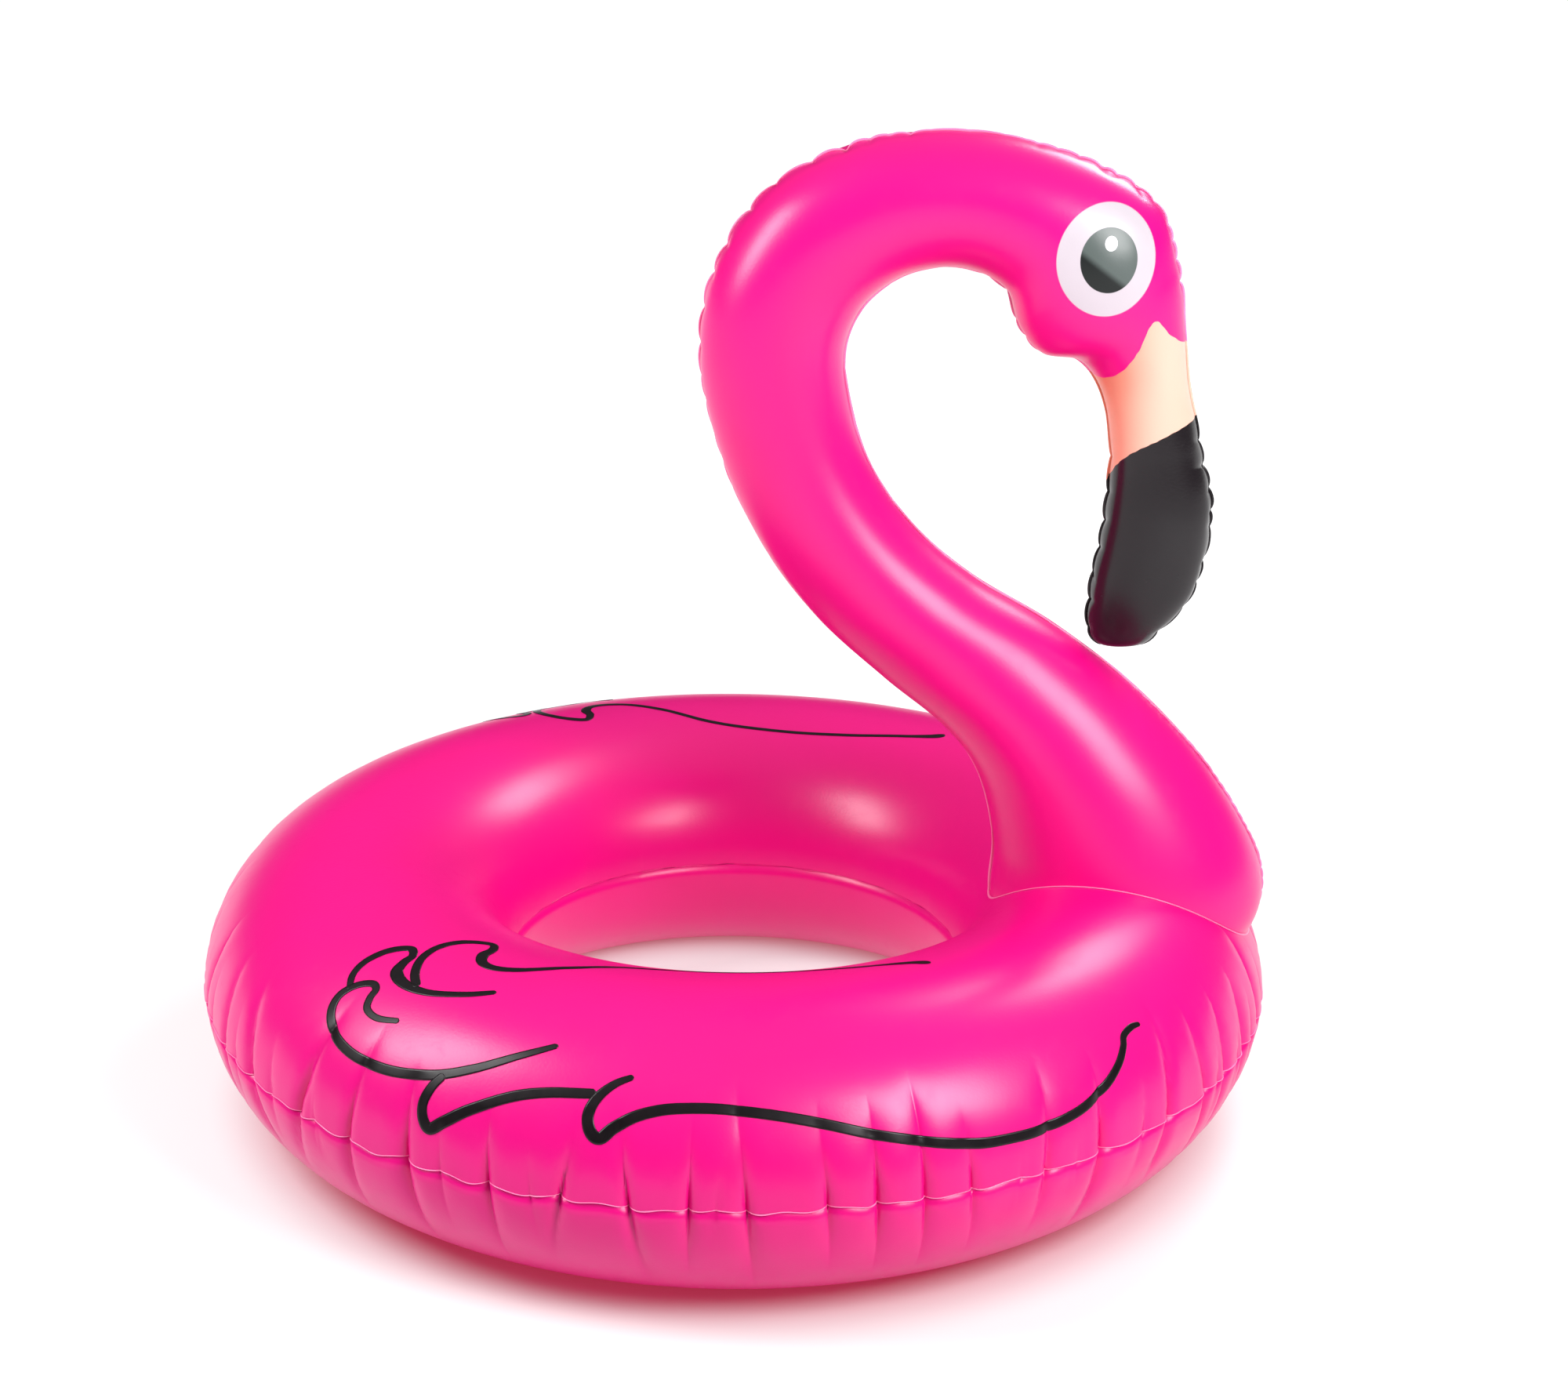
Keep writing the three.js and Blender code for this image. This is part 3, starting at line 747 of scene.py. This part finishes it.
def neck_rows(foot):
    """Places from the foot, which lies at a place of its own in each column, to the tip of the beak."""
    lengths = BACK_LENGTHS + FRONT_LENGTHS
    start = np.interp(FIRST_ROW, FINE_ROWS, lengths)
    even = np.interp(np.linspace(start, lengths[-1], NECK_ROWS), lengths, FINE_ROWS) - FIRST_ROW
    even = even[:, None] * LAST_ROW / (LAST_ROW - FIRST_ROW)
    return even + foot * np.clip(1 - even / 5, 0, 1) ** 1.5


def head_print(skin, tint, rough):
    """The eye and the beak, printed on the film before it is welded, with a painted reflection on the
    pupil.
    """
    x, z, _ = skin.split(skin.node("UVMap", {"uv_map": "print_place"}))

    def oval(middle_x, middle_z, half_x, half_z):
        off = ((x - middle_x) / half_x) ** 2 + ((z - middle_z) / half_z) ** 2
        return 1 - off.between(0.975, 1.025)

    def below(edge):
        """1 below a line through points (x, z), given in millimetres."""
        span = edge[-1][0] - edge[0][0]
        low, high = 600, 900
        stops = [((px - edge[0][0]) / span, ((pz - low) / (high - low),) * 3 + (1,)) for px, pz in edge]
        share = (x * 1000 - edge[0][0]) / span
        line = skin.node("ValToRGB", {"stops": stops, "curve": "CARDINAL"}, 0, Fac=share)
        return 1 - (z * 1000 - (line * (high - low) + low)).between(-0.4, 0.4)

    on_beak = x.between(0.338, 0.340) * (z + 0.767 * x).between(0.784, 0.790)
    peach = on_beak * below(PEACH_EDGE)
    black = on_beak * below(BLACK_EDGE)
    peach_tint = skin.mix(x.between(0.352, 0.425), DEEP_PEACH, PALE_PEACH)
    tint = skin.mix(peach, tint, peach_tint)
    tint = skin.mix(black, tint, BEAK_BLACK)
    tint = skin.mix(oval(0.3555, 0.9145, 0.0476, 0.0535), tint, EYE_WHITE)
    # The pupil's upper right is a painted reflection: grey over the black of the print.
    reflection_slant = ((x - 0.358) * 0.594 + (z - 0.915) * 0.804).between(-0.014, -0.006)
    pupil = skin.mix(reflection_slant, PUPIL_BLACK, PUPIL_REFLECTION_GREY)
    tint = skin.mix(oval(0.358, 0.915, 0.0275, 0.031), tint, pupil)
    tint = skin.mix(oval(0.3595, 0.931, 0.006, 0.007), tint, GLINT)
    return tint, rough - black * 0.07


def keep_print_places(piece):
    """Stores where each point lies in the bird's profile, so that its print goes along with the film."""
    mesh = piece.data
    while mesh.uv_layers:
        mesh.uv_layers.remove(mesh.uv_layers[0])
    layer = mesh.uv_layers.new(name="print_place")
    corners = np.empty(len(mesh.loops), np.int32)
    mesh.loops.foreach_get("vertex_index", corners)
    points = np.empty(3 * len(mesh.vertices), np.float32)
    mesh.vertices.foreach_get("co", points)
    layer.uv.foreach_set("vector", points.reshape(-1, 3)[corners][:, [0, 2]].reshape(-1))


DEEP_PEACH = (0.72, 0.21, 0.12, 1)
PALE_PEACH = (0.80, 0.47, 0.37, 1)
BEAK_BLACK = (0.009, 0.006, 0.008, 1)
EYE_WHITE = (0.53, 0.47, 0.52, 1)
PUPIL_BLACK = (0.008, 0.010, 0.010, 1)
PUPIL_REFLECTION_GREY = (0.085, 0.105, 0.100, 1)
GLINT = (0.92, 0.90, 0.94, 1)
# The upper edges of the peach and of the black, as (x, z) in millimetres.
PEACH_EDGE = [
    (340, 791), (350, 791), (357, 791.3), (363, 793), (373, 798.5), (382, 808), (389, 819), (394, 829),
    (399, 843.5), (403, 851), (407, 854), (412, 851), (420, 841), (430, 832.5), (441, 825), (450, 821),
]
BLACK_EDGE = [
    (340, 664), (362, 668), (371, 682), (376, 697), (381, 706), (389, 715), (398, 722), (408, 728),
    (417.5, 733), (428, 738.5), (438, 743), (446, 746.5), (455, 750), (470, 757),
]

head_film, head_tint, head_rough, head_bump = pink_film("printed_film")
head_tint, head_rough = head_print(head_film, head_tint, head_rough)
head_film.feed("Base Color", head_tint)
head_film.feed("Roughness", head_rough)
head_film.feed("Normal", head_bump)


def neck_sheet(name, hand):
    """One of the neck's two sheets; hand is 1 for the left one and -1 for the right one."""
    angle = neck_columns()
    place = neck_rows(foot_places(angle, hand))
    points = neck_point(place, angle[None, :], hand)
    sheet = sheet_from(name, points if hand < 0 else points[:, ::-1], head_film.made)
    merge_doubles(sheet)
    thicken(sheet, FILM)
    return sheet


left_sheet = neck_sheet("neck_left_skin", 1)
right_sheet = neck_sheet("neck_right_skin", -1)
punch_hole(left_sheet, "neck")
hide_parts("neck_left_panel", "neck_foot_cuff")
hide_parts("neck_right_panel")
for sheet in (left_sheet, right_sheet):
    keep_print_places(sheet)
    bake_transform(sheet)

# ---- Neck welds -----------------------------------------------------------------------------
# One lip all the way round the bird's profile, printed with the beak like the sheets it joins, and
# one round the neck's foot, where the neck was welded to the ring's top sheet.

edges = []
for angle, order in ((BACK, 1), (FRONT, -1)):
    foot = foot_places(np.array([angle]), 1)
    place = neck_rows(foot)[:, 0]
    smooth = neck_skin(place, np.full_like(place, angle), 1, 0)
    drawn = neck_point(place, np.full_like(place, angle), 1)
    edges.append((smooth[::order], drawn[::order]))
smooth, drawn = (np.concatenate([back[:-1], front]) for back, front in zip(*edges))
for path in (smooth, drawn):
    path[:, 1] = 0
along = np.gradient(smooth, axis=0)
away = np.stack([-along[:, 2], 0 * along[:, 2], along[:, 0]], 1)
away /= np.linalg.norm(away, axis=1, keepdims=True) + 1e-9
run = np.concatenate([[0], np.cumsum(np.linalg.norm(np.diff(drawn, axis=0), axis=1))])
stand = 0.0021 + 0.0004 * np.sin(run / 0.021) + 0.005 * np.exp(-(run[-1] - run) / 0.006)
outer = drawn + away * stand[:, None]
outer[:, 1] = 0.0007 * np.sin(run / 0.013) + 0.0005 * np.sin(run / 0.031 + 1)
profile_lip = lip_band("neck_profile_lip", drawn - LIP_ROOT * away, outer, LIP, closed=False)
trim_film, trim_tint, trim_rough, trim_bump = pink_film("printed_lip")
# The profile lip gets the same painted highlight.
trim_tint = trim_film.mix(0.7, trim_tint, PAINTED_LIP_HIGHLIGHT)
trim_tint, trim_rough = head_print(trim_film, trim_tint, trim_rough)
trim_film.feed("Base Color", trim_tint)
trim_film.feed("Roughness", trim_rough)
trim_film.feed("Normal", trim_bump)
profile_lip.data.materials[0] = trim_film.made
keep_print_places(profile_lip)
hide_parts("neck_profile_weld")
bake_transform(profile_lip)

half_way = np.linspace(0, math.pi, 260)
foot_inner, foot_outer = [], []
for hand, order in ((1, 1), (-1, -1)):
    place = foot_places(half_way, hand)
    low = neck_skin(place, half_way, hand, -0.0010)
    place_out = foot_places(half_way, hand, 0.0030)
    out = neck_skin(place_out, half_way, hand, 0.0030)
    out[:, 2] += 0.0010
    foot_inner.append(low[::order][1:])
    foot_outer.append(out[::order][1:])
foot_lip = lip_band("neck_foot_lip", np.concatenate(foot_inner), np.concatenate(foot_outer), LIP)
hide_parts("neck_foot_weld")
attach(foot_lip, "ring")

# ---- Valves ---------------------------------------------------------------------------------
# Two push-in valves of milky soft vinyl: one inside the ring's shoulder and one on the neck's
# left side. Each is a stem on a soft web, with a tethered stopper and a check flap inside.

vinyl = Material("valve_vinyl", IOR=1.5, Coat_Weight=0.2, Coat_Roughness=0.15)
where, _ = vinyl.place()
cloud = vinyl.node("TexNoise", None, 0, Vector=where, Scale=160.0, Detail=3.0)
speck = vinyl.node("TexNoise", None, 0, Vector=where, Scale=1400.0, Detail=2.0)
vinyl.feed("Base Color", vinyl.mix(cloud.between(0.3, 0.7), (0.80, 0.68, 0.74, 1), (0.90, 0.80, 0.85, 1)))
vinyl.feed("Roughness", 0.24 + cloud * 0.16)
vinyl.feed("Normal", vinyl.node("Bump", None, 0, Strength=0.25, Distance=0.0003, Height=speck))


def rounded(profile):
    """A profile of (radius, height, rounding) corners in millimetres, as a smooth outline in metres."""
    points = []
    for i, (radius, height, rounding) in enumerate(profile):
        corner = np.array([radius, height])
        before = np.array(profile[i - 1][:2]) - corner
        after = np.array(profile[(i + 1) % len(profile)][:2]) - corner
        start = corner + before * rounding / np.linalg.norm(before)
        stop = corner + after * rounding / np.linalg.norm(after)
        for share in np.linspace(0, 1, 5 if rounding else 1):
            points.append((1 - share) ** 2 * start + 2 * share * (1 - share) * corner + share**2 * stop)
    return np.array(points) / 1000


def turned(name, outline):
    """A turned piece. An outline that starts on the axis is solid; any other closes on itself."""
    if outline[0, 0] > 0:
        outline = np.concatenate([outline, outline[:1]])
    turn = np.linspace(0, 2 * math.pi, 57)
    radius, height = outline[:, :1], outline[:, 1:]
    points = np.stack([radius * np.cos(turn), radius * np.sin(turn), height + 0 * turn], -1)
    piece = sheet_from(name, points, vinyl.made, around=True)
    face_outwards(piece)
    return piece


def bar(low, high, rounding):
    """A bar with rounded edges between two corners, in millimetres."""
    low, high = Vector(low) / 1000, Vector(high) / 1000
    bpy.ops.object.select_all(action="DESELECT")
    bpy.ops.mesh.primitive_cube_add(size=1, location=(low + high) / 2, scale=high - low)
    made = bpy.context.object
    bpy.ops.object.transform_apply(location=True, scale=True)
    edges = made.modifiers.new("edges", "BEVEL")
    edges.width = rounding / 1000
    edges.segments = 3
    bpy.ops.object.modifier_apply(modifier="edges")
    return made


def finish_valve_piece(piece, key, node):
    """Sets a piece in its place, in the stead of its CAD node."""
    bpy.ops.object.select_all(action="DESELECT")
    piece.select_set(True)
    bpy.context.view_layer.objects.active = piece
    bpy.ops.object.shade_smooth_by_angle(angle=math.radians(38))
    piece.data.transform(valve_frame(key))
    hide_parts(f"{key}_valve_{node}")


def follow_film(piece, key):
    """Bends a flat turned piece to lie along the film round the hole."""
    skin = {"ring": top_panel, "neck": left_sheet}[key]
    place = valve_frame(key)
    down = place.to_3x3() @ Vector((0, 0, -1))
    bpy.context.view_layer.update()
    for vertex in piece.data.vertices:
        flat = Vector((vertex.co.x, vertex.co.y, 0))
        beside = flat * max(1, 1.1 * VALVE_HOLE / flat.length)
        _, film_point, *_ = skin.ray_cast(place @ (beside + Vector((0, 0, 0.03))), down)
        rise = (place.inverted() @ film_point).z
        vertex.co.z += rise * (flat.length / beside.length) ** 2


def valve_flange(key):
    """The flat disc that was welded under the film, seen round the edge of the hole."""
    outline = rounded([(11.2, -1.3, 0.2), (21, -1.3, 0.2), (21, -0.5, 0.3), (11.2, -0.5, 0.3)])
    flange = turned(f"{key}_flange", outline)
    follow_film(flange, key)
    finish_valve_piece(flange, key, "flange")
    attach(flange, key)


def valve_web(key):
    """The soft web between flange and stem, in one fixed shape that doesn't roll as the stem is pulled up
    or pushed in.
    """
    corners = [(11.5, -0.8), (10.9, -1.6), (10.2, -4.2), (9.2, -6.4), (8.0, -6.9), (7.0, -6.6)]
    middle = smooth_curve(np.array(corners), 6)
    along = np.gradient(middle, axis=0)
    away = np.stack([-along[:, 1], along[:, 0]], 1) / np.linalg.norm(along, axis=1, keepdims=True)
    outline = np.concatenate([middle + 0.25 * away, (middle - 0.25 * away)[::-1]]) / 1000
    web = turned(f"{key}_web", outline)
    follow_film(web, key)
    finish_valve_piece(web, key, "web")
    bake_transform(web)


def valve_stem(key):
    """The tube that is blown into, with a rim, and an ear that the stopper's strap is moulded to."""
    corners = [
        (3.9, -10, 0.3), (7.2, -10, 0.5), (7.2, 2.3, 0.8), (9.2, 2.8, 0.3), (9.2, 4, 0.5), (5.6, 4, 0.4),
    ]
    stem = turned(f"{key}_stem", rounded(corners))
    combine(stem, bar((7.6, -3, 2.9), (19.2, 3, 3.9), 0.35), "UNION")
    finish_valve_piece(stem, key, "stem")
    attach(stem, f"{key}_valve_stem")


def valve_stopper(key):
    """The stopper, closed: a tapered plug under a dished cap, a ribbed pull tab, and its strap."""
    corners = [
        (0, -3.6, 0), (3.3, -3.6, 0.6), (5.1, 4.3, 0.2), (8.6, 4.4, 0.3), (8.6, 6, 0.7), (6.6, 6, 0.5),
        (5.9, 5.5, 0.3), (0, 5.4, 0),
    ]
    stopper = turned(f"{key}_stopper", rounded(corners))
    combine(stopper, bar((7.9, -2.5, 4.45), (18.9, 2.5, 5.35), 0.3), "UNION")
    combine(stopper, bar((-13.5, -3, 4.45), (-7.9, 3, 5.4), 0.3), "UNION")
    for rib in range(3):
        start = -12.8 + 1.5 * rib
        combine(stopper, bar((start, -2.4, 5.1), (start + 0.6, 2.4, 5.75), 0.2), "UNION")
    sideways = (math.pi / 2, 0, 0)
    bpy.ops.mesh.primitive_cylinder_add(vertices=24, radius=0.0008, depth=0.0047, rotation=sideways)
    bend = bpy.context.object
    bend.location = (HINGE_OUT, 0, HINGE_UP)
    combine(stopper, bend, "UNION")
    finish_valve_piece(stopper, key, "stopper")
    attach(stopper, f"{key}_valve_stopper")


def valve_flap(key):
    """The check flap: a soft disc that hangs from one side under the stem, and that air opens."""
    outline = rounded([(0, -11.2, 0), (6.1, -11.2, 0.35), (6.1, -10.4, 0.35), (0, -10.5, 0)])
    flap = turned(f"{key}_flap", outline)
    finish_valve_piece(flap, key, "check_flap")
    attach(flap, f"{key}_valve_check_flap")


for key in ("ring", "neck"):
    valve_flange(key)
    valve_web(key)
    valve_stem(key)
    valve_stopper(key)
    valve_flap(key)

low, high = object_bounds()
